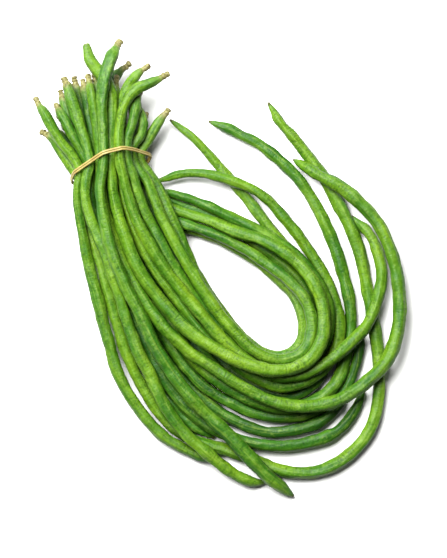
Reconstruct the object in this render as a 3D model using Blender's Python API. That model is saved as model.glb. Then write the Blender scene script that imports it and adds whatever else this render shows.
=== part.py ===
"""A bunch of yardlong beans: long thin pods tied near their stems with one rubber band, lying on a flat surface.

The bunch lies in the XY plane with its base at Z = 0. The stems point to -X +Y, the bundle runs down to -Y,
bends round and comes back up on the +X side, where the pods end in loose tips or curl back under the bundle.
Each pod is one solid, and so is the band. Routes are in millimetres, and the meshes are in metres.
"""
import math

import bpy
import numpy as np
from mathutils import Matrix

MM = 0.001

# The pods
POD_RADIUS = 4.3
STUB_RADIUS = 2.3
TIP_RADIUS = 1.0
STUB_STATIONS = (0, 4, 9, 15)
TIP_STATIONS = (0, 8, 18)
TIP_TAPER = 170.0
TIP_SHARE = 0.76
STOUT_TIPS = {"bean_01": 1.0, "bean_02": 0.88, "bean_03": 0.88, "bean_07": 0.92, "bean_08": 0.85,
              "bean_12": 0.94, "bean_13": 0.92, "bean_18": 1.0, "bean_19": 1.0, "bean_21": 1.0}
RING_SPACING = 13.0
POD_GAP = 0.35
LAYER_HEIGHT = 7.7
POD_SIDES = 6
POD_COLOUR = (0.16, 0.36, 0.03)

# The place where the band holds the bunch
TIE_CENTRE = np.array((-77.0, 71.3))
TIE_ALONG = np.array((0.316, -0.949))
TIE_ACROSS = np.array((0.949, 0.316))
TIE_LIFT = 4.0
TIE_SLANT = 0.48
TIE_SQUEEZE = 0.16
TIE_GRIP = 6
TIE_MIDDLE_HEIGHT = 19.8

# The band
BAND_WIDTH = 3.2
BAND_THICKNESS = 1.2
BAND_CLEARANCE = 0.45
BAND_EDGE = BAND_WIDTH / 2 + BAND_CLEARANCE
BAND_POINTS = 48
BAND_REACH = 50
BAND_BEVEL = 1
BAND_COLOUR = (0.72, 0.52, 0.18)

# Rounds of settling, each with how far a pod falls and how hard it is held to its route
SETTLING = ((150, 0.15, 0.04), (250, 0.12, 0.03), (150, 0.08, 0.02), (60, 0.03, 0.01))

# Each pod: its row and lane under the band, its girth, then its stem and its body as points (x, y, layer)
PODS = {
    # The five pods on top of the tie
    "bean_01": (3, 0, 1.03,
                [(-69, 159, 2.2), (-75, 146, 2.6), (-79, 132, 3), (-81, 113, 3.2)],
                [(-82, 54, 3), (-79, 33, 2.8), (-74, 12, 2.6), (-65, -9, 2.4), (-55, -29, 2.3),
                 (-40, -60, 2.2), (-17, -92, 2.2), (11, -120, 2), (32, -143, 1.2), (53, -162, 0.2)]),
    "bean_02": (3, -1, 0.99,
                [(-109, 133, 2.2), (-103, 122, 2.6), (-96, 103, 3)],
                [(-90, 56, 2.9), (-86, 35, 2.4), (-77, 14, 1.8), (-70, -9, 1.3), (-64, -28, 1.2),
                 (-61, -40, 1.2), (-54, -59, 1.2), (-47, -73, 1.2), (-41, -87, 1.2), (-34, -101, 1.2),
                 (-20, -118, 1), (0, -136, 0.9), (21, -150, 0.9), (34, -151, 0.5)]),
    "bean_03": (3, -1.9, 0.97,
                [(-129, 119, 1.4), (-120, 108, 1.8), (-108, 90, 2.2)],
                [(-95, 51, 2), (-92, 26, 1.3), (-88, 1, 0.7), (-82, -24, 0.2), (-76, -50, 0),
                 (-69, -74, 0), (-57, -96, 0), (-40, -116, 0), (-20, -129, 0), (0, -138, 0)]),
    "bean_04": (3, 1, 1.0,
                [(-35, 135.5, 3), (-47, 129, 3.1), (-61, 122, 3.2), (-69, 109, 3.1)],
                [(-69, 64, 2.8), (-63, 43, 2.6), (-56, 27, 2.5), (-47, 12, 2.4), (-33, -9, 2.2),
                 (-16, -29, 2), (2, -50, 1.5), (21, -66, 1.3), (42, -76, 1.3), (63, -72, 1.4),
                 (84, -59, 1.4), (103, -39, 1.3), (112, -15, 1), (112, 4, 0.7), (104, 23, 0.3),
                 (91, 36, 0)]),
    "bean_05": (3, 2, 1.0,
                [(-56, 128, 2.3), (-58, 117, 2.6), (-61, 103, 2.9)],
                [(-59, 62, 2.8), (-53, 44, 2.5), (-43, 26, 2.2), (-33, 7, 2), (-21, -12, 1.8),
                 (-9, -28, 1.5), (6, -46, 1.1), (21, -60, 0.9), (41, -68, 0.9), (60, -65, 0.9),
                 (75, -48, 0.9), (76, -23, 1), (64, -4, 1.1), (46, 13, 1.1), (21, 27, 1), (-7, 40, 0.7),
                 (-36, 51, 0.1), (-44, 53, 0)]),
    # The second row
    "bean_06": (2, -2.1, 1.02,
                [(-126, 95, 0.9), (-117, 93, 1.2), (-108, 84, 1.6), (-101, 72, 2)],
                [(-94, 51, 1.4), (-88, 27, 0.6), (-81, 4, 0.1), (-75, -19, 0), (-69, -43, 0),
                 (-61, -67, 0), (-49, -90, 0), (-34, -110, 0), (-15, -123, 0), (5, -129, 0), (26, -137, 0),
                 (50, -145, 0), (73, -143, 0), (93, -131, 0), (107, -112, 0), (112, -89, 0), (112, -64, 0),
                 (108, -38, 0), (103, -12, 0), (97, 14, 0), (86, 38, 0.3), (74, 59, 0.4), (59, 81, 0),
                 (43, 101, 0.2), (34, 116, 0.3)]),
    "bean_07": (2, -1.4, 0.98,
                [(-115, 115, 1.2), (-110, 107, 1.5), (-104, 97, 1.8), (-98, 85, 2)],
                [(-87, 49, 1.6), (-80, 24, 1.2), (-71, -1, 0.9), (-62, -26, 0.7), (-51, -52, 0.7),
                 (-40, -75, 0.7), (-25, -96, 0.7), (-10, -110, 0.5), (7, -119, 0.2), (30, -125, 0),
                 (53, -125, 0), (74, -120, 0), (92, -106, 0), (102, -86, 0)]),
    "bean_08": (2, -0.5, 1.02,
                [(-92, 135, 2.2), (-89, 120, 2.5), (-85, 99, 2.6)],
                [(-81, 53, 2.2), (-74, 28, 1.9), (-65, 4, 1.8), (-53, -19, 1.8), (-39, -39, 2),
                 (-21, -57, 2.2), (-2, -71, 2.2), (17, -83, 2.2), (37, -93, 2), (58, -97, 1.8),
                 (79, -94, 1.6), (96, -85, 1.4), (116, -66, 1), (124, -46, 0.6), (126, -24, 0.4),
                 (123, -1, 0.3), (116, 21, 0.4), (103, 41, 0.7), (85, 57, 0.9), (63, 70, 1), (49, 78, 1)]),
    "bean_09": (2, 0.4, 1.06,
                [(-93, 156, 2.6), (-89, 144, 2.7), (-80, 133, 2.7), (-74, 120, 2.6)],
                [(-75, 57, 2.5), (-72, 40, 2.4), (-66, 19, 2.5), (-57, -2, 2.6), (-44, -20, 2.7),
                 (-24, -42, 2.8), (0, -58, 2.7), (25, -69, 2.4), (46, -71, 2.1), (63, -63, 1.7),
                 (72, -47, 1.3), (71, -23, 1), (59, -1, 0.9), (36, 16, 0.8), (7, 26, 0.4), (-21, 36, 0),
                 (-38, 42, 0), (-51, 48, 0)]),
    "bean_10": (2, 1.3, 0.98,
                [(-49, 141, 2.4), (-58, 135, 2.6), (-66, 125, 2.7), (-70, 110, 2.5)],
                [(-68, 54, 2.2), (-63, 35, 2), (-56, 16, 1.9), (-45, -2, 1.8), (-30, -21, 1.6),
                 (-14, -42, 1.2), (4, -58, 0.8), (21, -72, 0.5), (42, -82, 0.5), (63, -77, 0.6),
                 (78, -63, 0.7), (83, -46, 0.8), (78, -25, 1), (67, 0, 1.1), (49, 27, 1.1), (27, 51, 1),
                 (0, 63, 0.8), (-24, 66, 0.4), (-40, 62, 0.1), (-46, 60, 0)]),
    "bean_11": (2, 2.2, 0.98,
                [(-58, 120, 2), (-56, 110, 2.2), (-53, 99, 2.3)],
                [(-51, 59, 2), (-44, 40, 1.7), (-36, 24, 1.5), (-27, 7, 1.3), (-16, -11, 1.1),
                 (-3, -31, 0.9), (12, -49, 0.9), (26, -61, 0.9), (43, -66, 0.9), (58, -60, 0.8),
                 (64, -44, 0.7), (60, -25, 0.5), (48, -11, 0.3), (28, 4, 0.3), (6, 17, 0.2), (-17, 26, 0),
                 (-34, 32, 0), (-46, 38, 0)]),
    # The third row
    "bean_12": (1, -1.9, 0.97,
                [(-102, 134, 1.2), (-100, 122, 1.4), (-96, 103, 1.4)],
                [(-89, 47, 0.8), (-85, 33, 0.4), (-76, 7, 0.1), (-65, -17, 0), (-52, -41, 0),
                 (-39, -62, 0), (-23, -81, 0), (-5, -97, 0), (14, -108, 0), (40, -114, 0), (67, -108, 0),
                 (90, -93, 0)]),
    "bean_13": (1, -1, 0.95,
                [(-96, 132, 1.6), (-93, 117, 1.7), (-91, 99, 1.6)],
                [(-83, 49, 1.2), (-75, 24, 1), (-66, 1, 0.9), (-53, -23, 0.9), (-40, -45, 0.8),
                 (-26, -66, 0.7), (-12, -82, 0.4), (5, -92, 0.1), (22, -100, 0), (39, -103, 0),
                 (57, -102, 0), (72, -95, 0), (85, -84, 0), (94, -68, 0), (97, -52, 0), (99, -38, 0)]),
    "bean_14": (1, 0, 0.98,
                [(-87, 136, 1.8), (-86, 120, 1.8), (-83, 99, 1.6)],
                [(-74, 49, 1.4), (-67, 24, 1.1), (-56, -1, 1), (-43, -26, 1), (-28, -50, 1), (-13, -70, 1),
                 (4, -84, 1), (22, -94, 1), (40, -100, 1), (58, -99, 0.9), (73, -92, 0.6), (83, -80, 0.3),
                 (87, -63, 0.3), (90, -43, 0.3), (89, -22, 0.3), (84, -2, 0.3), (78, 18, 0.2), (69, 38, 0),
                 (59, 56, 0), (45, 72, 0), (29, 85, 0), (10, 96, 0), (-8, 103, 0)]),
    "bean_15": (1, 1, 0.9,
                [(-72, 135, 1.6), (-72, 122, 1.7), (-72, 106, 1.6)],
                [(-67, 47, 1.2), (-57, 22, 0.8), (-43, -2, 0.7), (-24, -27, 0.6), (-5, -49, 0.4),
                 (18, -70, 0.1), (39, -80, 0), (61, -76, 0), (76, -56, 0), (76, -29, 0), (62, 1, 0),
                 (42, 21, 0), (23, 45, 0), (2, 69, 0), (-17, 90, 0), (-35, 104, 0.2)]),
    "bean_16": (1, 1.85, 0.92,
                [(-51, 109, 1.2), (-53, 100, 1.4), (-57, 90, 1.5)],
                [(-56, 50, 1.2), (-47, 31, 0.8), (-35, 12, 0.6), (-21, -11, 0.4), (-5, -32, 0.1),
                 (12, -54, 0), (29, -67, 0), (48, -70, 0), (63, -59, 0), (67, -38, 0), (56, -9, 0),
                 (29, 14, 0), (0, 33, 0), (-21, 41, 0), (-38, 47, 0), (-49, 50, 0)]),
    "bean_17": (1, 2.75, 1.0,
                [(-35, 111, 1.4), (-43, 102, 1.5), (-50, 91, 1.5)],
                [(-46, 58, 1.3), (-38, 42, 0.9), (-31, 24, 0.6), (-24, 6, 0.3), (-14, -14, 0.1),
                 (2, -38, 0), (18, -56, 0), (33, -65, 0), (46, -64, 0), (56, -54, 0), (57, -37, 0),
                 (50, -20, 0), (30, 0, 0), (6, 16, 0), (-16, 25, 0), (-30, 29, 0), (-42, 32, 0)]),
    # The bottom row
    "bean_18": (0, -2, 0.95,
                [(-112, 125, 0.6), (-107, 111, 0.6), (-100, 92, 0.5)],
                [(-89, 47, 0.1), (-83, 24, 0), (-76, -1, 0), (-67, -25, 0), (-58, -47, 0), (-50, -67, 0),
                 (-40, -85, 0), (-29, -100, 0), (-17, -112, 0), (-2, -121, 0)]),
    "bean_19": (0, 0, 0.95,
                [(-62, 144, 1), (-72, 134, 1), (-79, 113, 0.8)],
                [(-76, 47, 0.1), (-67, 24, 0), (-57, -1, 0), (-45, -24, 0), (-31, -44, 0), (-17, -60, 0),
                 (0, -74, 0), (17, -83, 0), (28, -89, 0)]),
    "bean_20": (0, 1, 0.95,
                [(-114, 107, 0.6), (-106, 96, 0.5), (-93, 83, 0.3)],
                [(-70, 43, 0.1), (-62, 19, 0), (-51, -4, 0), (-36, -27, 0), (-19, -49, 0), (2, -70, 0),
                 (21, -84, 0)]),
    "bean_21": (0, -1, 0.95,
                [(-120, 100, 0.9), (-114, 96, 0.8), (-105, 89, 0.5)],
                [(-79, 52, 0), (-62, 33, 0), (-52, 10, 0), (-39, -11, 0), (-24, -31, 0), (-9, -51, 0),
                 (9, -69, 0), (30, -84, 0), (55, -88, 0), (73, -76, 0), (78, -69, 0)]),
    "bean_22": (0, 2, 0.93,
                [(-63, 122, 0.8), (-61, 108, 0.6)],
                [(-51, 47, 0.1), (-42, 27, 0), (-30, 7, 0), (-17, -12, 0), (-1, -33, 0), (15, -52, 0)]),
}


def clear_scene():
    for old in list(bpy.data.objects):
        bpy.data.objects.remove(old)


def tie_point(row, lane):
    """The place of a pod under the band: the band leans, so its upper rows are held nearer the stems."""
    height = POD_RADIUS + TIE_LIFT + row * LAYER_HEIGHT
    pitch = 2 * POD_RADIUS * (1 - TIE_SQUEEZE) + POD_GAP
    shift = (TIE_MIDDLE_HEIGHT - height) * TIE_SLANT
    place = TIE_CENTRE + (lane - 0.1) * pitch * TIE_ACROSS + shift * TIE_ALONG
    return (*place, height)


def guide_points(pod):
    """The pod's points as (x, y, z), from the stem through the tie to the tip."""
    row, lane, _, stem, body = PODS[pod]
    lifted = [[(x, y, POD_RADIUS + layer * LAYER_HEIGHT) for x, y, layer in part] for part in (stem, body)]
    return np.array([*lifted[0], tie_point(row, lane), *lifted[1]], float)


def smooth_curve(guides, count=600):
    """A dense centripetal Catmull-Rom curve through the guide points."""
    ends = [2 * guides[0] - guides[1], *guides, 2 * guides[-1] - guides[-2]]
    knots = np.array(ends)
    spans = []
    for p0, p1, p2, p3 in zip(knots, knots[1:], knots[2:], knots[3:]):
        t0 = 0.0
        t1 = t0 + math.sqrt(np.linalg.norm(p1 - p0))
        t2 = t1 + math.sqrt(np.linalg.norm(p2 - p1))
        t3 = t2 + math.sqrt(np.linalg.norm(p3 - p2))
        t = np.linspace(t1, t2, max(4, count // len(guides)), endpoint=False)[:, None]
        a1 = (t1 - t) / (t1 - t0) * p0 + (t - t0) / (t1 - t0) * p1
        a2 = (t2 - t) / (t2 - t1) * p1 + (t - t1) / (t2 - t1) * p2
        a3 = (t3 - t) / (t3 - t2) * p2 + (t - t2) / (t3 - t2) * p3
        b1 = (t2 - t) / (t2 - t0) * a1 + (t - t0) / (t2 - t0) * a2
        b2 = (t3 - t) / (t3 - t1) * a2 + (t - t1) / (t3 - t1) * a3
        spans.append((t2 - t) / (t2 - t1) * b1 + (t - t1) / (t2 - t1) * b2)
    return np.concatenate([*spans, guides[-1:]])


def stations(length):
    """Distances of a pod's rings from its stem end: close together on the stub and the tip."""
    start, end = STUB_STATIONS[-1], length - TIP_STATIONS[-1]
    middle = np.linspace(start, end, max(2, round((end - start) / RING_SPACING) + 1))
    return np.concatenate([STUB_STATIONS[:-1], middle, [length - s for s in TIP_STATIONS[-2::-1]]])


def rings_of(pod):
    """The pod's ring centres and radii before it is eased clear of the others."""
    dense = smooth_curve(guide_points(pod))
    travelled = np.concatenate([[0], np.cumsum(np.linalg.norm(np.diff(dense, axis=0), axis=1))])
    at = stations(travelled[-1])
    centres = np.column_stack([np.interp(at, travelled, dense[:, axis]) for axis in range(3)])
    girth = POD_RADIUS * PODS[pod][2]
    stub = np.interp(at, STUB_STATIONS, [STUB_RADIUS, STUB_RADIUS * 1.15, girth * 0.8, girth])
    left = travelled[-1] - at
    taper = np.interp(left, (0, TIP_TAPER), (STOUT_TIPS.get(pod, TIP_SHARE), 1))
    tip = np.interp(left, TIP_STATIONS, [TIP_RADIUS, girth * 0.72, girth])
    return centres, np.minimum(stub, tip) * taper


class Bunch:
    """All the pods' ring centres in one array, eased clear of each other."""

    def __init__(self, names):
        rings = [rings_of(name) for name in names]
        self.names = names
        self.counts = [len(radii) for _, radii in rings]
        self.points = np.concatenate([centres for centres, _ in rings])
        self.radii = np.concatenate([radii for _, radii in rings])
        self.pod = np.repeat(np.arange(len(names)), self.counts)
        self.home = self.points.copy()
        index = np.arange(len(self.pod) - 1)
        self.starts = index[self.pod[:-1] == self.pod[1:]]
        inner = index[1:]
        self.inner = inner[(self.pod[inner - 1] == self.pod[inner]) & (self.pod[inner + 1] == self.pod[inner])]
        self.spans = np.linalg.norm(self.home[self.starts + 1] - self.home[self.starts], axis=1)
        middles = (self.home[self.inner - 1] + self.home[self.inner + 1]) / 2
        self.bow = self.home[self.inner] - middles
        self.bow[:, 2] = 0
        near = self.nearness_to_tie()
        self.radii = self.radii * (1 - TIE_SQUEEZE * near)
        self.floor = self.radii * math.cos(math.pi / POD_SIDES) + TIE_LIFT * near
        self.held = self.along_bundle() < 10
        hidden = np.array([PODS[name][0] == 0 for name in names])[self.pod]
        self.grip = (np.where(hidden, 0.3, 1) + TIE_GRIP * near)[:, None]

    def along_bundle(self):
        return (self.home[:, :2] - TIE_CENTRE) @ TIE_ALONG

    def nearness_to_tie(self):
        """1 under the band, fading to 0 at 60 mm from it, for the pods that pass through the tie."""
        flat = self.home[:, :2] - TIE_CENTRE
        distance = np.hypot(flat @ TIE_ALONG, np.maximum(0, np.abs(flat @ TIE_ACROSS) - 25))
        fade = np.clip((60 - distance) / 40, 0, 1)
        return fade * fade * (3 - 2 * fade)

    def near_pairs(self, reach):
        """Pairs of pod stretches whose middles are within reach, leaving out a stretch's own neighbours."""
        middles = (self.points[self.starts] + self.points[self.starts + 1]) / 2
        offsets = middles[:, None, :] - middles[None, :, :]
        near = np.einsum("ijk,ijk->ij", offsets, offsets) < reach**2
        first, second = np.nonzero(np.triu(near, 1))
        a, b = self.starts[first], self.starts[second]
        apart = (self.pod[a] != self.pod[b]) | (b - a > 4)
        return a[apart], b[apart]

    def closest(self, a, b):
        """Where the stretches a and b pass closest, as shares of their lengths, and the vector between."""
        p, q = self.points[a], self.points[b]
        u, v, w = self.points[a + 1] - p, self.points[b + 1] - q, p - q
        uu, uv, vv = (u * u).sum(1), (u * v).sum(1), (v * v).sum(1)
        uw, vw = (u * w).sum(1), (v * w).sum(1)
        s = np.clip((uv * vw - vv * uw) / np.maximum(uu * vv - uv * uv, 1e-9), 0, 1)
        t = np.clip((uv * s + vw) / vv, 0, 1)
        s = np.clip((uv * t - uw) / uu, 0, 1)
        return s, t, (w + s[:, None] * u - t[:, None] * v)

    def push_apart(self, a, b, share, sideways=0.4, gap=POD_GAP):
        """Moves overlapping stretches apart, up more than sideways, and returns the deepest overlap."""
        s, t, between = self.closest(a, b)
        distance = np.linalg.norm(between, axis=1)
        reach_a = self.radii[a] * (1 - s) + self.radii[a + 1] * s
        reach_b = self.radii[b] * (1 - t) + self.radii[b + 1] * t
        depth = reach_a + reach_b + gap - distance
        hit = depth > 0
        if not hit.any():
            return 0.0
        a, b, s, t = a[hit], b[hit], s[hit], t[hit]
        step = between[hit] * (share * depth[hit] / np.maximum(distance[hit], 1e-6))[:, None] / 2
        step[:, :2] *= sideways
        for start, along, move in ((a, s, step), (b, t, -step)):
            weight = (1 - along) ** 2 + along**2
            np.add.at(self.points, start, move * ((1 - along) / weight)[:, None])
            np.add.at(self.points, start + 1, move * (along / weight)[:, None])
        return float(depth.max())

    def keep_lengths(self):
        along = self.points[self.starts + 1] - self.points[self.starts]
        length = np.linalg.norm(along, axis=1)
        fix = along * ((length - self.spans) / length / 4)[:, None]
        np.add.at(self.points, self.starts, fix)
        np.add.at(self.points, self.starts + 1, -fix)

    def keep_smooth(self, share):
        middles = (self.points[self.inner - 1] + self.points[self.inner + 1]) / 2
        self.points[self.inner] += share * (middles + self.bow - self.points[self.inner])

    def keep_above_floor(self):
        self.points[:, 2] = np.maximum(self.points[:, 2], self.floor)

    def settle(self, rounds, fall, hold, share=0.5):
        """Eases the pods apart while they sink on each other and keep near their routes."""
        for turn in range(rounds):
            if turn % 10 == 0:
                a, b = self.near_pairs(26)
            self.points[:, :2] += hold * self.grip * (self.home[:, :2] - self.points[:, :2])
            lift = np.where(self.held, 0.05 * (self.home[:, 2] - self.points[:, 2]), -fall)
            self.points[:, 2] += lift
            self.keep_smooth(0.3)
            self.keep_lengths()
            deepest = self.push_apart(a, b, share)
            self.keep_above_floor()
        return deepest

    def clear(self, most_rounds=3000, target=0.04):
        """Moves the pods until none is nearer to another than the gap, less the target."""
        for turn in range(most_rounds):
            if turn % 20 == 0:
                a, b = self.near_pairs(26)
            deepest = self.push_apart(a, b, 0.5)
            self.keep_above_floor()
            if deepest < target:
                break
            if turn < most_rounds // 2:
                self.keep_smooth(0.05)
        return deepest

    def parts(self):
        ends = np.cumsum(self.counts)
        return {name: slice(end - count, end) for name, end, count in zip(self.names, ends, self.counts)}


def settled_rings():
    """Every pod's ring centres and radii once the bunch has settled, in millimetres."""
    bunch = Bunch(list(PODS))
    for rounds, fall, hold in SETTLING:
        bunch.settle(rounds, fall, hold)
    bunch.clear()
    return {name: (bunch.points[part], bunch.radii[part]) for name, part in bunch.parts().items()}


def band_frame():
    """The plane the band lies in: its across, up and normal directions, and its middle."""
    lean = math.atan(TIE_SLANT)
    across = np.array((*TIE_ACROSS, 0.0))
    up = np.array((*(-TIE_ALONG * math.sin(lean)), math.cos(lean)))
    return across, up, np.cross(across, up), np.array((*TIE_CENTRE, TIE_MIDDLE_HEIGHT))


def band_crossings(rings):
    """Where the pods cross the middle and both edges of the band, as (place, direction, radius) in its axes."""
    across, up, normal, middle = band_frame()
    axes = np.array((across, up, normal))
    crossings = []
    for centres, radii in rings.values():
        local = (centres - middle) @ axes.T
        for start, end, radius in zip(local[:-1], local[1:], np.maximum(radii[:-1], radii[1:])):
            for edge in (-BAND_EDGE, 0, BAND_EDGE):
                if (start[2] - edge) * (end[2] - edge) > 0:
                    continue
                share = (edge - start[2]) / (end[2] - start[2])
                place = start + share * (end - start)
                if np.hypot(place[0], place[1]) < BAND_REACH:
                    crossings.append((place[:2], (end - start) / np.linalg.norm(end - start), radius))
    return crossings


def furthest_out(crossing, way):
    """The point of a pod's slanting section that lies furthest along way, in the band's plane."""
    place, along, radius = crossing
    slope = along[:2] @ way / along[2]
    outward = np.array((*way, -slope)) / math.hypot(1, slope)
    return place + radius * (outward[:2] - along[:2] * outward[2] / along[2])


def band_outline(crossings):
    """The taut loop round the pods, as evenly spaced points in the band's plane."""
    outline = []
    for turn in np.linspace(0, 2 * math.pi, 4 * BAND_POINTS, endpoint=False):
        way = np.array((math.cos(turn), math.sin(turn)))
        points = [furthest_out(crossing, way) for crossing in crossings]
        outline.append(max(points, key=way.dot) + way * (BAND_CLEARANCE + BAND_THICKNESS / 2))
    loop = np.array([*outline, outline[0]])
    travelled = np.concatenate([[0], np.cumsum(np.linalg.norm(np.diff(loop, axis=0), axis=1))])
    at = np.linspace(0, travelled[-1], BAND_POINTS, endpoint=False)
    return np.column_stack([np.interp(at, travelled, loop[:, axis]) for axis in range(2)])


def make_material(name, colour, roughness):
    material = bpy.data.materials.new(name)
    material.use_nodes = True
    shader = material.node_tree.nodes["Principled BSDF"]
    shader.inputs["Base Color"].default_value = (*colour, 1)
    shader.inputs["Roughness"].default_value = roughness
    shader.inputs["Metallic"].default_value = 0
    return material


def add_tube(name, collection, centres, material, depth, cyclic=False):
    """A curve object through the centres, given in metres, with a round bevel and smooth shading."""
    curve = bpy.data.curves.new(name, "CURVE")
    curve.dimensions = "3D"
    curve.twist_mode = "Z_UP"
    curve.fill_mode = "FULL"
    curve.use_fill_caps = not cyclic
    curve.bevel_depth = depth
    spline = curve.splines.new("POLY")
    spline.points.add(len(centres) - 1)
    spline.use_cyclic_u = cyclic
    spline.use_smooth = True
    for point, centre in zip(spline.points, centres):
        point.co = (*centre, 1)
    tube = bpy.data.objects.new(name, curve)
    collection.objects.link(tube)
    curve.materials.append(material)
    return tube


def add_pod(name, collection, centres, radii, material):
    """One pod: a tube that swells from its cut stub to its full girth and narrows to its tip."""
    pod = add_tube(name, collection, centres * MM, material, POD_RADIUS * MM)
    pod.data.bevel_resolution = (POD_SIDES - 4) // 2
    for point, radius in zip(pod.data.splines[0].points, radii):
        point.radius = radius / POD_RADIUS
    return pod


def add_band(collection, rings, material):
    """The rubber band: a flat strip standing on edge round the bunch, in a plane that leans with it."""
    across, up, normal, middle = band_frame()
    outline = band_outline(band_crossings(rings))
    centres = np.column_stack([outline, np.zeros(len(outline))])
    band = add_tube("rubber_band", collection, centres * MM, material, BAND_THICKNESS / 2 * MM, cyclic=True)
    band.data.bevel_resolution = BAND_BEVEL
    band.data.extrude = (BAND_WIDTH - BAND_THICKNESS) / 2 * MM
    band.matrix_world = Matrix(np.vstack([np.column_stack([across, up, normal, middle * MM]), (0, 0, 0, 1)]))
    return band


def set_on_base(objects):
    """Moves the bunch so that the middle of its base is the origin."""
    bpy.context.view_layer.update()
    graph = bpy.context.evaluated_depsgraph_get()
    corners = []
    for piece in objects:
        evaluated = piece.evaluated_get(graph)
        mesh = evaluated.to_mesh()
        places = np.array([evaluated.matrix_world @ vertex.co for vertex in mesh.vertices])
        corners += [places.min(axis=0), places.max(axis=0)]
        evaluated.to_mesh_clear()
    low, high = np.min(corners, axis=0), np.max(corners, axis=0)
    shift = Matrix.Translation((-(low[0] + high[0]) / 2, -(low[1] + high[1]) / 2, -low[2]))
    for piece in objects:
        piece.matrix_world = shift @ piece.matrix_world


def main():
    clear_scene()
    collection = bpy.data.collections.new("yardlong_bean_bunch")
    bpy.context.scene.collection.children.link(collection)
    green = make_material("bean_pod", POD_COLOUR, 0.45)
    tan = make_material("band_rubber", BAND_COLOUR, 0.6)
    rings = settled_rings()
    pieces = [add_pod(name, collection, *rings[name], green) for name in PODS]
    pieces.append(add_band(collection, rings, tan))
    set_on_base(pieces)


main()
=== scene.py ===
"""A bunch of yardlong beans, held near its stalks by a doubled rubber band and laid down on a pale table."""
import math
import random

import bmesh
import bpy
import numpy as np
from mathutils import Matrix, Vector
from mathutils.geometry import convex_hull_2d


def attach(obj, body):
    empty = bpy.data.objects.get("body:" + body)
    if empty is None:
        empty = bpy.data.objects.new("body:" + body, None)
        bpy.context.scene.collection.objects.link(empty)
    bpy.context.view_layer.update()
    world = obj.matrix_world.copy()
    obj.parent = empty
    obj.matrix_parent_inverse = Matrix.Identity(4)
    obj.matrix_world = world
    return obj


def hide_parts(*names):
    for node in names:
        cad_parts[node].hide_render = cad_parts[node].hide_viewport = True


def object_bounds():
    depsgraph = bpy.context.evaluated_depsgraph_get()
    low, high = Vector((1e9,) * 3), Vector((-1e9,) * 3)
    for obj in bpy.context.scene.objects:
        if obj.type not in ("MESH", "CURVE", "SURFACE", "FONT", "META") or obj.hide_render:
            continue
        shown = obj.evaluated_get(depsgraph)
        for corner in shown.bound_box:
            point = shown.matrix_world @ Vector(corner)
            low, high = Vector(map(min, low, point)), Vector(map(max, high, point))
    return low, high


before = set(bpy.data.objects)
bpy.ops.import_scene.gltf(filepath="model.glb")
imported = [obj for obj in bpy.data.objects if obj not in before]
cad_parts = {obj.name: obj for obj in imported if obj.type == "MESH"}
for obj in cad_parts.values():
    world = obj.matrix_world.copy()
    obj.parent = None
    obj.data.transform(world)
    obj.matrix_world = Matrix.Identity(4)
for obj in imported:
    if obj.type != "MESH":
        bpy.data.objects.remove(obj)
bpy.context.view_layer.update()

# THE BEANS
# Fresh yardlong bean pods, each grown in one piece and cut from the vine with a short woody stalk left on.
# A pod is drawn out straight, ring by ring from the cut of its stalk to its tip, and then bent along its CAD
# pod. Its sizes are in millimetres, which MM turns into metres.
MM = 0.001


def linear(code):
    """An sRGB hex colour as linear red, green, blue and alpha."""
    shares = [int(code[i:i + 2], 16) / 255 for i in (1, 3, 5)]
    return (*(s / 12.92 if s <= 0.04045 else ((s + 0.055) / 1.055) ** 2.4 for s in shares), 1.0)


def add_node(tree, kind, inputs=None, stops=(), **settings):
    """Adds one shader node: its settings, its inputs as values or nodes' outputs, and its ramp's stops."""
    node = tree.nodes.new("ShaderNode" + kind)
    for name, value in settings.items():
        setattr(node, name, value)
    for name, value in (inputs or {}).items():
        if isinstance(value, bpy.types.NodeSocket):
            tree.links.new(value, node.inputs[name])
        else:
            node.inputs[name].default_value = value
    for index, (place, colour) in enumerate(stops):
        stop = node.color_ramp.elements[index] if index < 2 else node.color_ramp.elements.new(place)
        stop.position, stop.color = place, colour
    return node


# Fresh bean skin: a thin waxy cuticle over wet green flesh, as it grew, with painted shade in the hollows of
# its wrinkles. It is satin, with a broad soft shine, and each pod has its own tint, darker as painted shade
# on the pods that lie low in the bunch. "grown" is a point's place on the straight pod, in metres, and "ends"
# holds its distances from the stalk's cut and from the tip, in millimetres, and the pod's tint and painted
# shade.
skin = bpy.data.materials.new("fresh_bean_skin")
skin.use_nodes = True
tree = skin.node_tree
tree.nodes.clear()
grown = add_node(tree, "Attribute", attribute_name="grown").outputs["Vector"]
ends = add_node(tree, "Attribute", attribute_name="ends").outputs["Vector"]
from_stalk, from_tip, tint_and_shade = add_node(tree, "SeparateXYZ", {0: ends}).outputs

# The noise for each pattern: the length and width of its patches, its detail, its roughness and its shift.
# Real wrinkles and veins are finer, and are drawn this coarse so that they show on a whole bunch.
SKIN_PATTERNS = {
    "blotches": (34, 9, 2.0, 0.5, 3.0),
    "strands": (45, 1.5, 1.0, 0.5, 11.0),
    "flecks": (5, 3, 3.0, 0.7, 17.0),
    "wrinkles": (1.1, 4.6, 2.5, 0.62, 7.0),
    "grain": (1.3, 1.3, 2.0, 0.6, 5.0),
    "wrinkle_shade_parts": (22, 6, 1.0, 0.5, 31.0),
    "veins": (3.4, 2.2, 3.0, 0.7, 41.0),
    "wood_rings": (1.8, 2.6, 2.0, 0.6, 23.0),
}
noise = {}
for pattern, (along, around, detail, roughness, shift) in SKIN_PATTERNS.items():
    stretch = (1 / (along * MM), 1 / (around * MM), 1 / (around * MM))
    placed = add_node(tree, "Mapping", {"Vector": grown, "Location": (shift, shift, shift), "Scale": stretch})
    noise[pattern] = add_node(tree, "TexNoise", {"Vector": placed.outputs[0], "Scale": 1.0, "Detail": detail,
                                                 "Roughness": roughness}).outputs["Fac"]
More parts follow.
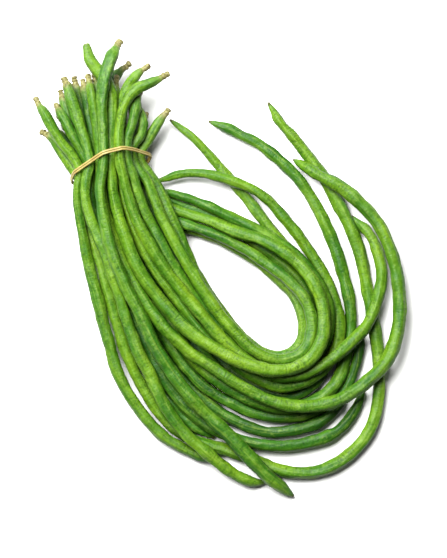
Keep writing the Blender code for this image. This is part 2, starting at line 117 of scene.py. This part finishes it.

# Leaf green in lighter and darker blotches, with pale strands along the pod. The pod's tint moves it along
# the greens, and on the low pods the darker tint is painted shade.
blotched_and_shaded = add_node(tree, "Math", {0: noise["blotches"], 1: 0.75, 2: tint_and_shade},
                    operation="MULTIPLY_ADD").outputs[0]
green = add_node(tree, "ValToRGB", {"Fac": blotched_and_shaded}, stops=(
    (0.16, linear("#173C06")), (0.27, linear("#265108")), (0.375, linear("#385D09")),
    (0.48, linear("#486A0C")), (0.60, linear("#58760F")))).outputs["Color"]
strand_share = add_node(tree, "MapRange", {"Value": noise["strands"], "From Min": 0.52, "From Max": 0.74,
                                           "To Max": 0.4}).outputs[0]
colour = add_node(tree, "Mix", {0: strand_share, 6: green, 7: linear("#68802E")}, data_type="RGBA").outputs[2]

# Small flecks, some darker and some paler than the green round them
dark_fleck = add_node(tree, "MapRange", {"Value": noise["flecks"], "From Min": 0.3, "From Max": 0.5,
                                         "To Min": 0.35, "To Max": 0.0}).outputs[0]
colour = add_node(tree, "Mix", {0: dark_fleck, 6: colour, 7: linear("#17420A")}, data_type="RGBA").outputs[2]
pale_fleck = add_node(tree, "MapRange", {"Value": noise["flecks"], "From Min": 0.54, "From Max": 0.72,
                                         "To Max": 0.42}).outputs[0]
colour = add_node(tree, "Mix", {0: pale_fleck, 6: colour, 7: linear("#6C8632")}, data_type="RGBA").outputs[2]

# Fine wrinkles with painted shade in their hollows, deeper in some parts of a pod than in others, and dark
# veins that gather near the stalk
fine = add_node(tree, "Math", {0: noise["wrinkles"], 1: noise["grain"]}, operation="ADD").outputs[0]
# The wrinkles' hollows, where the bump is low, are painted darker as shade
wrinkle_shade = add_node(tree, "MapRange", {"Value": fine, "From Min": 0.76, "From Max": 1.1, "To Min": 0.68,
                                      "To Max": 0.0}).outputs[0]
wrinkle_shade_depth = add_node(tree, "MapRange", {"Value": noise["wrinkle_shade_parts"], "From Min": 0.38, "From Max": 0.62,
                                       "To Min": 0.35, "To Max": 1.0}).outputs[0]
wrinkle_shade_share = add_node(tree, "Math", {0: wrinkle_shade, 1: wrinkle_shade_depth}, operation="MULTIPLY").outputs[0]
vein = add_node(tree, "MapRange", {"Value": noise["veins"], "From Min": 0.36, "From Max": 0.5, "To Min": 0.62,
                                   "To Max": 0.0}).outputs[0]
near_stalk = add_node(tree, "MapRange", {"Value": from_stalk, "From Min": 45.0, "From Max": 130.0,
                                         "To Min": 1.0, "To Max": 0.15}).outputs[0]
vein_share = add_node(tree, "Math", {0: vein, 1: near_stalk}, operation="MULTIPLY").outputs[0]
vein_and_wrinkle_shade_share = add_node(tree, "Math", {0: wrinkle_shade_share, 1: vein_share}, operation="MAXIMUM").outputs[0]
colour = add_node(tree, "Mix", {0: vein_and_wrinkle_shade_share, 6: colour, 7: linear("#0D2C04")}, data_type="RGBA").outputs[2]

# Near the stalk the green pales, and along a ragged edge it turns to cream wood with brown rings
ragged = add_node(tree, "Math", {0: noise["blotches"], 1: noise["grain"]}, operation="ADD").outputs[0]
stalk_edge = add_node(tree, "Math", {0: ragged, 1: 5.0, 2: from_stalk}, operation="MULTIPLY_ADD").outputs[0]
pale_share = add_node(tree, "MapRange", {"Value": stalk_edge, "From Min": 12.0, "From Max": 20.0,
                                         "To Min": 0.5, "To Max": 0.0}).outputs[0]
colour = add_node(tree, "Mix", {0: pale_share, 6: colour, 7: linear("#52692C")}, data_type="RGBA").outputs[2]
wood = add_node(tree, "ValToRGB", {"Fac": noise["wood_rings"]}, stops=(
    (0.34, linear("#3A3216")), (0.43, linear("#57522D")), (0.54, linear("#68633C")),
    (0.66, linear("#757247")))).outputs["Color"]
wood_share = add_node(tree, "MapRange", {"Value": stalk_edge, "From Min": 10.5, "From Max": 14.5,
                                         "To Min": 0.97, "To Max": 0.0}).outputs[0]
colour = add_node(tree, "Mix", {0: wood_share, 6: colour, 7: wood}, data_type="RGBA").outputs[2]

# The cut of the stalk is brown, and so is the dry point of the tip
cut_share = add_node(tree, "MapRange", {"Value": from_stalk, "From Min": 0.3, "From Max": 1.1,
                                        "To Min": 0.75, "To Max": 0.0}).outputs[0]
colour = add_node(tree, "Mix", {0: cut_share, 6: colour, 7: linear("#3A2C15")}, data_type="RGBA").outputs[2]
dry_share = add_node(tree, "MapRange", {"Value": from_tip, "From Min": 1.0, "From Max": 3.2,
                                        "To Min": 0.9, "To Max": 0.0}).outputs[0]
colour = add_node(tree, "Mix", {0: dry_share, 6: colour, 7: linear("#383414")}, data_type="RGBA").outputs[2]

# The wax gives a broad shine, a little duller in the grain, and the strands and wrinkles stand out slightly
gloss = add_node(tree, "MapRange", {"Value": noise["grain"], "From Min": 0.3, "From Max": 0.7,
                                    "To Min": 0.4, "To Max": 0.56}).outputs[0]
relief = add_node(tree, "Math", {0: noise["strands"], 1: 0.5, 2: fine}, operation="MULTIPLY_ADD").outputs[0]
bump = add_node(tree, "Bump", {"Height": relief, "Strength": 0.8, "Distance": 0.4 * MM}).outputs[0]
surface = add_node(tree, "BsdfPrincipled", {"Base Color": colour, "Roughness": gloss, "Normal": bump,
                                            "Metallic": 0.0, "IOR": 1.4, "Specular IOR Level": 0.25})
add_node(tree, "OutputMaterial", {"Surface": surface.outputs[0]})

# Every CAD pod is a tube of six-sided rings. The first four are its stalk and the last three its point. The
# profile below draws both of these itself, so they take the width of the ring next to them.
RING_POINTS = 6
STALK_RINGS = 4
POINT_RINGS = 3


def pod_rings(node):
    """The centres and half widths of a CAD pod's rings in metres, from its stalk to its tip.

    The smallest ring is the tip's, and the others are followed from it, edge by edge.
    """
    merged = bmesh.new()
    merged.from_mesh(node.data)
    bmesh.ops.remove_doubles(merged, verts=merged.verts, dist=1e-6)
    merged.verts.ensure_lookup_table()
    places = np.array([vertex.co for vertex in merged.verts])
    away = np.linalg.norm(places[:, None] - places[None], axis=2)
    nearest = np.argsort(away, axis=1)[:, :RING_POINTS]
    tip = np.argmin(np.take_along_axis(away, nearest, axis=1)[:, -1])
    ring, seen, rings = set(nearest[tip]), set(), []
    while ring:
        rings.append(sorted(ring))
        seen |= ring
        linked = {edge.other_vert(merged.verts[i]).index for i in ring for edge in merged.verts[i].link_edges}
        ring = linked - seen
    merged.free()
    rings.reverse()
    centres = np.array([places[ring].mean(axis=0) for ring in rings])
    widths = [np.linalg.norm(places[ring] - places[ring].mean(axis=0), axis=1).mean() for ring in rings]
    widths[:STALK_RINGS] = [widths[STALK_RINGS]] * STALK_RINGS
    widths[-POINT_RINGS:] = [widths[-POINT_RINGS - 1]] * POINT_RINGS
    return centres, np.array(widths)


# A pod is drawn at the usual half width. Its line's radius then brings it to the width of its CAD pod, or a
# hair more.
HALF_WIDTH = 4.3
FULLNESS = 1.005


def pod_line(centres, widths, twist):
    """The curve a pod is bent along. Its radius is the pod's girth, and its tilt turns the pod's seams."""
    curve = bpy.data.curves.new("pod_line", "CURVE")
    curve.dimensions = "3D"
    curve.twist_mode = "Z_UP"
    curve.resolution_u = 16
    spline = curve.splines.new("BEZIER")
    spline.bezier_points.add(len(centres) - 1)
    for point, centre, width, turn in zip(spline.bezier_points, centres, widths, twist):
        point.co = centre
        point.radius = FULLNESS * width / (HALF_WIDTH * MM)
        point.tilt = turn
        point.handle_left_type = point.handle_right_type = "AUTO"
    line = bpy.data.objects.new("pod_line", curve)
    bpy.context.scene.collection.objects.link(line)
    bpy.context.view_layer.update()
    return line


# Distance from the cut and half width: the knotty stalk, and then the neck that widens to the pod. One pod is
# cut through its green neck instead, and has hardly any wood left on it.
STALK = ((0, 1.1), (0.4, 1.9), (1.3, 2.5), (2.3, 2.45), (3.2, 2.05), (4.2, 2.5), (5.1, 2.6), (6.1, 2.25),
         (7.4, 2.6), (9.6, 3.2), (12.4, 3.8), (16, 4.2))
NECK = ((0, 0.8), (0.3, 1.5), (1.0, 2.2), (2.2, 2.65), (5, 2.9), (9, 3.3), (13, 3.75), (17.5, 4.2))
CUT_AT_NECK = ("bean_09",)

# No two stalks are alike: by these shares they differ in length and in the width of their knots. The wood
# also sways this far to the side, between these two distances from the cut.
STALK_LENGTHS = (0.65, 1.1)
STALK_KNOTS = 0.15
NECK_KNOTS = 0.04
STALK_SWAY = 0.35
SWAYING = (0.3, 9)

# Distance from the tip and half width: the blunt dry point, and the long taper before it
POINT = ((0, 0.8), (0.4, 1.15), (1.2, 1.35), (2.6, 1.85), (4.8, 2.6), (7.8, 3.2))
POINT_LENGTHS = (0.9, 1.2)
TAPER = ((7.8, 3.2), (12, 3.6), (18, 3.8), (28, 4.05), (45, 4.3))

# Seeds swell the pod at this spacing, each over a short length either way. They are ripest in the last 190 mm
# before the tip, so they show most there. Between seeds the pod is a little thinner.
FIRST_SEED = (4, 12)
SEED_SPACING = (11.0, 19.0)
SEED_REACH = 5.2
SEED_SWELLING = (0.02, 0.09)
RIPE_SWELLING = (0.02, 0.3)
RIPE_LENGTH = 190
BETWEEN_SEEDS = 0.95

# A pod's width also changes slowly along it, and a little from ring to ring. Each slow change has its share
# of the width, its length, and how many times over it is shifted by the pod's own phase.
RING_SPACING = 4.5
RING_UNEVENNESS = 0.015
SLOW_CHANGES = ((0.025, 17, 1), (0.02, 41, 2))
PHASES = (0, 6.3)

# The last 210 mm wander across in one short wave and up and down in another, and both die out before the tip
WANDER = 0.42
WANDER_LENGTH = 210
WANDER_FADE = 12
WANDER_WAVES = ((5.3, 1), (7.1, 2))


def sway(luck, x):
    """How far a stalk's ring is shifted, across and up. Its first ring and its last ones stay in line."""
    reach = STALK_SWAY if SWAYING[0] < x < SWAYING[1] else 0
    return luck.uniform(-reach, reach), luck.uniform(-reach, reach)


def pod_profile(length, at_neck, luck):
    """Each ring of one pod as (distance from the stalk's cut, half width, shift across, shift up), in mm."""
    shrink = luck.uniform(*STALK_LENGTHS)
    knots = NECK_KNOTS if at_neck else STALK_KNOTS
    stalk = [(x * shrink, radius * luck.uniform(1 - knots, 1 + knots), *sway(luck, x))
             for x, radius in (NECK if at_neck else STALK)]
    stretch = luck.uniform(*POINT_LENGTHS)
    point = [(length - x * stretch, radius, 0, 0) for x, radius in reversed(POINT)]
    start, end = stalk[-1][0], point[0][0]
    seeds, place = [], start + luck.uniform(*FIRST_SEED)
    while place < end:
        ripe = max(0, 1 - (end - place) / RIPE_LENGTH)
        seeds.append((place, luck.uniform(*SEED_SWELLING) + luck.uniform(*RIPE_SWELLING) * ripe))
        place += luck.uniform(*SEED_SPACING)
    phase = luck.uniform(*PHASES)
    count = max(2, round((end - start) / RING_SPACING))
    body = []
    for step in range(1, count):
        x = start + (end - start) * step / count
        swell = sum(high * math.exp(-((x - seed) / SEED_REACH) ** 2) for seed, high in seeds)
        slow = sum(share * math.sin(x / reach + turns * phase) for share, reach, turns in SLOW_CHANGES)
        uneven = BETWEEN_SEEDS + swell + slow + luck.uniform(-RING_UNEVENNESS, RING_UNEVENNESS)
        loose = WANDER * max(0, 1 - (end - x) / WANDER_LENGTH) * min(1, (end - x) / WANDER_FADE)
        shifts = [loose * math.sin(x / reach + turns * phase) for reach, turns in WANDER_WAVES]
        body.append((x, np.interp(length - x, *zip(*TAPER)) * uneven, *shifts))
    return stalk + body + point


# A ring has ten sides. The subdivision surface pulls it in, so a ring is drawn wider by the same share.
SIDES = 10
ROUNDING = (2 + math.cos(2 * math.pi / SIDES)) / 3
OUT_OF_ROUND = (0.97, 1.03)


def draw_out(name, profile, luck):
    """A straight pod along +X, extruded ring by ring from a short disc at the cut of its stalk."""
    cut_radius = profile[0][1]
    x, radius, across, up = profile[1]
    bpy.ops.object.select_all(action="DESELECT")
    bpy.ops.mesh.primitive_cylinder_add(vertices=SIDES, radius=cut_radius * MM / ROUNDING, depth=x * MM,
                                        end_fill_type="NGON", location=(x * MM / 2, 0, 0),
                                        rotation=(0, math.pi / 2, 0))
    bpy.ops.object.transform_apply(location=True, rotation=True, scale=True)
    pod = bpy.context.object
    pod.name = pod.data.name = name
    bpy.ops.object.mode_set(mode="EDIT")
    bpy.context.tool_settings.mesh_select_mode = (False, False, True)
    bpy.ops.mesh.select_all(action="DESELECT")
    bpy.ops.object.mode_set(mode="OBJECT")
    for face in pod.data.polygons:
        face.select = face.normal.x > 0.9
    bpy.ops.object.mode_set(mode="EDIT")
    bpy.ops.transform.resize(value=(1, radius / cut_radius, radius / cut_radius),
                             center_override=(x * MM, 0, 0))
    bpy.ops.transform.translate(value=(0, across * MM, up * MM))
    wide = tall = radius
    for next_x, next_radius, next_across, next_up in profile[2:]:
        step = ((next_x - x) * MM, (next_across - across) * MM, (next_up - up) * MM)
        bpy.ops.mesh.extrude_region_move(TRANSFORM_OT_translate={"value": step})
        next_wide = next_radius * luck.uniform(*OUT_OF_ROUND)
        next_tall = next_radius * luck.uniform(*OUT_OF_ROUND)
        bpy.ops.transform.resize(value=(1, next_wide / wide, next_tall / tall),
                                 center_override=(next_x * MM, next_across * MM, next_up * MM))
        x, across, up, wide, tall = next_x, next_across, next_up, next_wide, next_tall
    bpy.ops.mesh.select_all(action="DESELECT")
    bpy.ops.object.mode_set(mode="OBJECT")
    return pod


def finish_modifier(piece, kind, **settings):
    """Adds one modifier with its settings and applies it."""
    modifier = piece.modifiers.new(kind, kind)
    for name, value in settings.items():
        setattr(modifier, name, value)
    bpy.ops.object.modifier_apply(modifier=modifier.name)


# The two halves of a pod meet in two seams. They stand up as low ridges, except where the pod is thin.
SEAM_HALF_WIDTH = 0.35
SEAM_NARROWEST = 2.9
SEAM_HEIGHT = 0.22
SEAM_CREASE = 0.55


def raise_seams(pod):
    """Draws the two seams of the pod, on opposite sides, out into low ridges."""
    mesh = pod.data
    bpy.context.tool_settings.mesh_select_mode = (False, True, False)
    for side in (1, -1):
        for part in (*mesh.polygons, *mesh.vertices):
            part.select = False
        for edge in mesh.edges:
            places = [mesh.vertices[i].co for i in edge.vertices]
            edge.select = all(abs(co.z) < SEAM_HALF_WIDTH * MM and co.y * side > SEAM_NARROWEST * MM
                              for co in places)
        bpy.ops.object.mode_set(mode="EDIT")
        bpy.ops.transform.edge_crease(value=SEAM_CREASE)
        bpy.ops.transform.translate(value=(0, side * SEAM_HEIGHT * MM, 0))
        bpy.ops.object.mode_set(mode="OBJECT")


def noise_texture(name, depth):
    """The cloud noise that one kind of unevenness is displaced by."""
    clouds = bpy.data.textures.new(name, "CLOUDS")
    clouds.noise_scale = 1.0
    clouds.noise_depth = depth
    return clouds


def noise_place(name, along, around):
    """An empty that stretches a displacement pattern to these lengths along and around a pod."""
    bpy.ops.object.empty_add(location=(0, 0, 0))
    empty = bpy.context.object
    empty.name = name
    empty.scale = (along * MM, around * MM, around * MM)
    return empty


# Each kind of unevenness has its depth. Every pod takes its own 0.9 m of the noise, so that no two are alike.
unevenness = [
    (noise_texture("hollows", 1), noise_place("hollows", 11, 6), 1.25),
    (noise_texture("creases", 0), noise_place("creases", 38, 1.9), 0.42),
    (noise_texture("wrinkles", 1), noise_place("wrinkles", 2.6, 4.5), 0.3),
]
NOISE_APART = 0.9

# The thin ends are more even: there the depth falls to 0.4 of itself, and it is whole again 13 mm from the
# stalk's cut and 10 mm from the tip
LEAST_DEPTH = 0.4
STALK_EVEN = 2
STALK_FADE = 11
TIP_EVEN = 1
TIP_FADE = 9


def mark_body(pod, length):
    """A vertex group that lessens the unevenness towards the thin ends."""
    group = pod.vertex_groups.new(name="body")
    for vertex in pod.data.vertices:
        x = vertex.co.x / MM
        depth = min(1, (x - STALK_EVEN) / STALK_FADE, (length - x - TIP_EVEN) / TIP_FADE)
        group.add([vertex.index], max(LEAST_DEPTH, depth), "REPLACE")


def roughen(pod, number):
    """Adds hollows, lengthwise creases and cross wrinkles, each pod from its own part of the noise."""
    for texture, place, depth in unevenness:
        place.location = (-NOISE_APART * number, 0, 0)
        bpy.context.view_layer.update()
        finish_modifier(pod, "DISPLACE", texture=texture, texture_coords="OBJECT",
                        texture_coords_object=place, direction="NORMAL", mid_level=0.5,
                        strength=depth * MM, vertex_group="body")


# The skin of a pod cut at its neck starts 8 mm along, past most of the wood. The tint moves a pod along the
# greens of its skin, and the pods that lie low in the bunch, under the others, are tinted darker as painted
# shade.
NECK_CUT = 8
TINTS = (-0.08, 0.075)
LOW_POD_SHADE_TINT = 0.16
LOW_PODS_IN_SHADE = ("bean_07", "bean_12", "bean_13", "bean_18", "bean_19", "bean_20", "bean_21", "bean_22")


def keep_growth(pod, number, length, at_neck, tint_and_shade):
    """Keeps each point's place on the straight pod and its distances from both ends, for the skin to read."""
    places = np.empty(len(pod.data.vertices) * 3, np.float32)
    pod.data.vertices.foreach_get("co", places)
    places = places.reshape(-1, 3)
    from_ends = np.column_stack([places[:, 0] / MM + (NECK_CUT if at_neck else 0), length - places[:, 0] / MM,
                                 np.full(len(places), tint_and_shade)]).astype(np.float32)
    places[:, 0] += NOISE_APART * number
    for name, values in (("grown", places), ("ends", from_ends)):
        attribute = pod.data.attributes.new(name, "FLOAT_VECTOR", "POINT")
        attribute.data.foreach_set("vector", values.ravel())


# The seams start at any angle, and turn slowly back and forth along the pod, in radians and in CAD rings
SEAM_TURN = 0.8
SEAM_TURN_RINGS = 9
SEAM_JITTER = 0.05


def make_bean(name):
    """One pod, drawn out straight and finished, and then bent along its CAD pod."""
    number = int(name[-2:])
    luck = random.Random(number)
    centres, widths = pod_rings(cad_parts[name])
    turn = luck.uniform(0, math.pi)
    twist = [turn + luck.uniform(-SEAM_JITTER, SEAM_JITTER) + SEAM_TURN * math.sin(i / SEAM_TURN_RINGS + turn)
             for i in range(len(centres))]
    line = pod_line(centres, widths, twist)
    length = line.data.splines[0].calc_length() / MM
    at_neck = name in CUT_AT_NECK
    pod = draw_out(name + "_pod", pod_profile(length, at_neck, luck), luck)
    raise_seams(pod)
    finish_modifier(pod, "SUBSURF", levels=2, render_levels=2)
    mark_body(pod, length)
    roughen(pod, number)
    # The pods that lie low in the bunch get a darker tint: painted shade
    tint_and_shade = luck.uniform(*TINTS) - LOW_POD_SHADE_TINT * (name in LOW_PODS_IN_SHADE)
    keep_growth(pod, number, length, at_neck, tint_and_shade)
    finish_modifier(pod, "CURVE", object=line, deform_axis="POS_X")
    bpy.ops.object.shade_smooth()
    bpy.data.objects.remove(line)
    pod.data.materials.append(skin)
    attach(pod, "root")
    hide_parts(name)


for name in sorted(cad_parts):
    if name.startswith("bean"):
        make_bean(name)
for _, place, _ in unevenness:
    bpy.data.objects.remove(place)

# THE RUBBER BAND
# A thin band of natural rubber, doubled round the bunch so that two strands lie side by side. It is cut from
# a tube, so its section is a small rectangle, and it is stretched tight over the pods.
STRAND_WIDTH = 1.35
STRAND_THICKNESS = 1.15
STRAND_OFFSET = 0.86
STRAND_ROUNDING = 0.32
CAD_THICKNESS = 1.2

# The line round the bunch has this many points. A strand is cut into 16 lengths and each of these into 15, so
# that it bends smoothly along that line.
LOOP_POINTS = 96
STRAND_CUTS = (15, 14)

# Natural rubber, extruded as a tube and cut: dull tan, slightly cloudy, with fine dust in its pits
rubber = bpy.data.materials.new("natural_rubber")
rubber.use_nodes = True
tree = rubber.node_tree
tree.nodes.clear()
place = add_node(tree, "TexCoord").outputs["Object"]
cloudy = add_node(tree, "TexNoise", {"Vector": place, "Scale": 1 / (4 * MM), "Detail": 3.0}).outputs["Fac"]
dust = add_node(tree, "TexNoise", {"Vector": place, "Scale": 1 / (0.5 * MM), "Detail": 2.0}).outputs["Fac"]
tan = add_node(tree, "ValToRGB", {"Fac": cloudy}, stops=(
    (0.35, linear("#78662F")), (0.5, linear("#807338")), (0.68, linear("#8C8146")))).outputs["Color"]
dust_share = add_node(tree, "MapRange", {"Value": dust, "From Min": 0.35, "From Max": 0.65, "To Min": 0.3,
                                         "To Max": 0.0}).outputs[0]
dusty = add_node(tree, "Mix", {0: dust_share, 6: tan, 7: linear("#684F20")}, data_type="RGBA").outputs[2]
dull = add_node(tree, "MapRange", {"Value": dust, "From Min": 0.3, "From Max": 0.7, "To Min": 0.45,
                                   "To Max": 0.62}).outputs[0]
pits = add_node(tree, "Bump", {"Height": dust, "Strength": 0.3, "Distance": 0.08 * MM}).outputs[0]
surface = add_node(tree, "BsdfPrincipled", {"Base Color": dusty, "Roughness": dull, "Normal": pits,
                                            "Metallic": 0.0, "IOR": 1.52})
add_node(tree, "OutputMaterial", {"Surface": surface.outputs[0]})


def band_loop(node):
    """The frame of the CAD band as a matrix, and its middle line in that frame as (across, up) points."""
    places = np.unique(np.round(np.array([vertex.co for vertex in node.data.vertices], float), 7), axis=0)
    middle = (places.min(axis=0) + places.max(axis=0)) / 2
    _, _, axes = np.linalg.svd(places - middle)
    normal = axes[2] * np.sign(axes[2][1])
    across = np.cross((0, 0, 1), normal)
    across /= np.linalg.norm(across)
    up = np.cross(normal, across)
    local = (places - middle) @ np.array((across, up)).T
    outside = local[convex_hull_2d([tuple(point) for point in local])]
    outside = np.concatenate([outside, outside[:1]])
    travelled = np.concatenate([[0], np.cumsum(np.linalg.norm(np.diff(outside, axis=0), axis=1))])
    at = np.linspace(0, travelled[-1], LOOP_POINTS, endpoint=False)
    loop = np.column_stack([np.interp(at, travelled, outside[:, axis]) for axis in range(2)])
    along = np.roll(loop, -1, axis=0) - np.roll(loop, 1, axis=0)
    inward = np.column_stack([-along[:, 1], along[:, 0]]) / np.linalg.norm(along, axis=1)[:, None]
    inward *= np.sign((inward * -loop).sum())
    loop += inward * CAD_THICKNESS / 2 * MM
    band_frame = np.eye(4)
    band_frame[:3, :4] = np.column_stack([across, up, normal, middle])
    return Matrix(band_frame), loop


def strand_line(loop):
    """A closed curve that goes round the loop, flat in its own plane."""
    curve = bpy.data.curves.new("strand_line", "CURVE")
    curve.dimensions = "3D"
    curve.twist_mode = "Z_UP"
    curve.resolution_u = 6
    spline = curve.splines.new("BEZIER")
    spline.bezier_points.add(len(loop) - 1)
    for point, (across, up) in zip(spline.bezier_points, loop):
        point.co = (across, up, 0)
        point.handle_left_type = point.handle_right_type = "AUTO"
    spline.use_cyclic_u = True
    line = bpy.data.objects.new("strand_line", curve)
    bpy.context.scene.collection.objects.link(line)
    bpy.context.view_layer.update()
    return line


def make_strand(line, offset):
    """One strand: a bar with rounded edges, cut into short lengths, bent round the loop and closed."""
    length = line.data.splines[0].calc_length()
    bpy.ops.object.select_all(action="DESELECT")
    bpy.ops.mesh.primitive_cube_add(size=1, location=(length / 2, 0, offset * MM),
                                    scale=(length, STRAND_THICKNESS * MM, STRAND_WIDTH * MM))
    bpy.ops.object.transform_apply(location=True, rotation=True, scale=True)
    strand = bpy.context.object
    bpy.context.tool_settings.mesh_select_mode = (False, True, False)
    bpy.ops.object.mode_set(mode="EDIT")
    bpy.ops.mesh.bevel(offset=STRAND_ROUNDING * MM, segments=3)
    bpy.ops.mesh.select_all(action="DESELECT")
    bpy.ops.object.mode_set(mode="OBJECT")
    for face in strand.data.polygons:
        face.select = abs(face.normal.x) > 0.9
    bpy.context.tool_settings.mesh_select_mode = (False, False, True)
    bpy.ops.object.mode_set(mode="EDIT")
    bpy.ops.mesh.delete(type="ONLY_FACE")
    bpy.ops.mesh.select_all(action="SELECT")
    bpy.ops.object.mode_set(mode="OBJECT")
    for cuts in STRAND_CUTS:
        for edge in strand.data.edges:
            ends = [strand.data.vertices[i].co.x for i in edge.vertices]
            edge.select = abs(ends[0] - ends[1]) > 1e-6
        for face in strand.data.polygons:
            face.select = False
        bpy.context.tool_settings.mesh_select_mode = (False, True, False)
        bpy.ops.object.mode_set(mode="EDIT")
        bpy.ops.mesh.subdivide(number_cuts=cuts)
        bpy.ops.object.mode_set(mode="OBJECT")
    finish_modifier(strand, "CURVE", object=line, deform_axis="POS_X")
    bpy.ops.object.mode_set(mode="EDIT")
    bpy.ops.mesh.select_all(action="SELECT")
    bpy.ops.mesh.remove_doubles(threshold=0.01 * MM)
    bpy.ops.mesh.normals_make_consistent(inside=False)
    bpy.ops.object.mode_set(mode="OBJECT")
    return strand


band_frame, loop = band_loop(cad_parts["rubber_band"])
line = strand_line(loop)
strands = [make_strand(line, side * STRAND_OFFSET) for side in (-1, 1)]
bpy.data.objects.remove(line)
bpy.ops.object.select_all(action="DESELECT")
for strand in strands:
    strand.select_set(True)
bpy.ops.object.join()
band = bpy.context.object
band.name = band.data.name = "rubber_band_strands"
band.data.transform(band_frame)
bpy.ops.object.shade_smooth_by_angle(angle=math.radians(50))
band.data.materials.append(rubber)
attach(band, "root")
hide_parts("rubber_band")

# THE TABLE, THE LIGHT AND THE CAMERA
# A plain pale table just under the lowest pod, with one large soft lamp in a dim white room. The camera looks
# straight down on the bunch, and its view is VIEW_WIDTH across at the height of VIEW_MIDDLE. All in metres.
TABLE_SIDE = 6
TABLE_GAP = 0.05 * MM
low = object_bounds()[0]
bpy.ops.object.select_all(action="DESELECT")
bpy.ops.mesh.primitive_plane_add(size=TABLE_SIDE, location=(0, 0, low[2] - TABLE_GAP))
table = bpy.context.object
table.name = "table_top"

# Board with a flat pale grey paint, rolled on: an even, nearly matt surface
paint = bpy.data.materials.new("pale_painted_board")
paint.use_nodes = True
paint.node_tree.nodes["Principled BSDF"].inputs["Base Color"].default_value = linear("#D6D6D4")
paint.node_tree.nodes["Principled BSDF"].inputs["Roughness"].default_value = 0.7
table.data.materials.append(paint)

room = bpy.data.worlds.new("dim_white_room")
bpy.context.scene.world = room
room.use_nodes = True
room.node_tree.nodes["Background"].inputs["Color"].default_value = (1, 1, 1, 1)
room.node_tree.nodes["Background"].inputs["Strength"].default_value = 0.12

# The lamp hangs high up to the left, beyond the stalks
LAMP_PLACE = (-0.5, 0.75, 1.38)
soft_light = bpy.data.lights.new("key_lamp", "AREA")
soft_light.size = 1.1
soft_light.energy = 140
lamp = bpy.data.objects.new("key_lamp", soft_light)
lamp.location = LAMP_PLACE
lamp.rotation_euler = (-Vector(LAMP_PLACE)).to_track_quat("-Z", "Y").to_euler()
bpy.context.scene.collection.objects.link(lamp)

VIEW_WIDTH = 0.3129
VIEW_DISTANCE = 2.0
VIEW_MIDDLE = (0.003, -0.007, 0.015)
SENSOR_WIDTH = 36
lens = bpy.data.cameras.new("camera")
lens.sensor_fit = "HORIZONTAL"
lens.sensor_width = SENSOR_WIDTH
lens.lens = SENSOR_WIDTH * VIEW_DISTANCE / VIEW_WIDTH
camera = bpy.data.objects.new("camera", lens)
camera.location = (VIEW_MIDDLE[0], VIEW_MIDDLE[1], VIEW_MIDDLE[2] + VIEW_DISTANCE)
bpy.context.scene.collection.objects.link(camera)
bpy.context.scene.camera = camera
bpy.context.scene.view_settings.view_transform = "Standard"
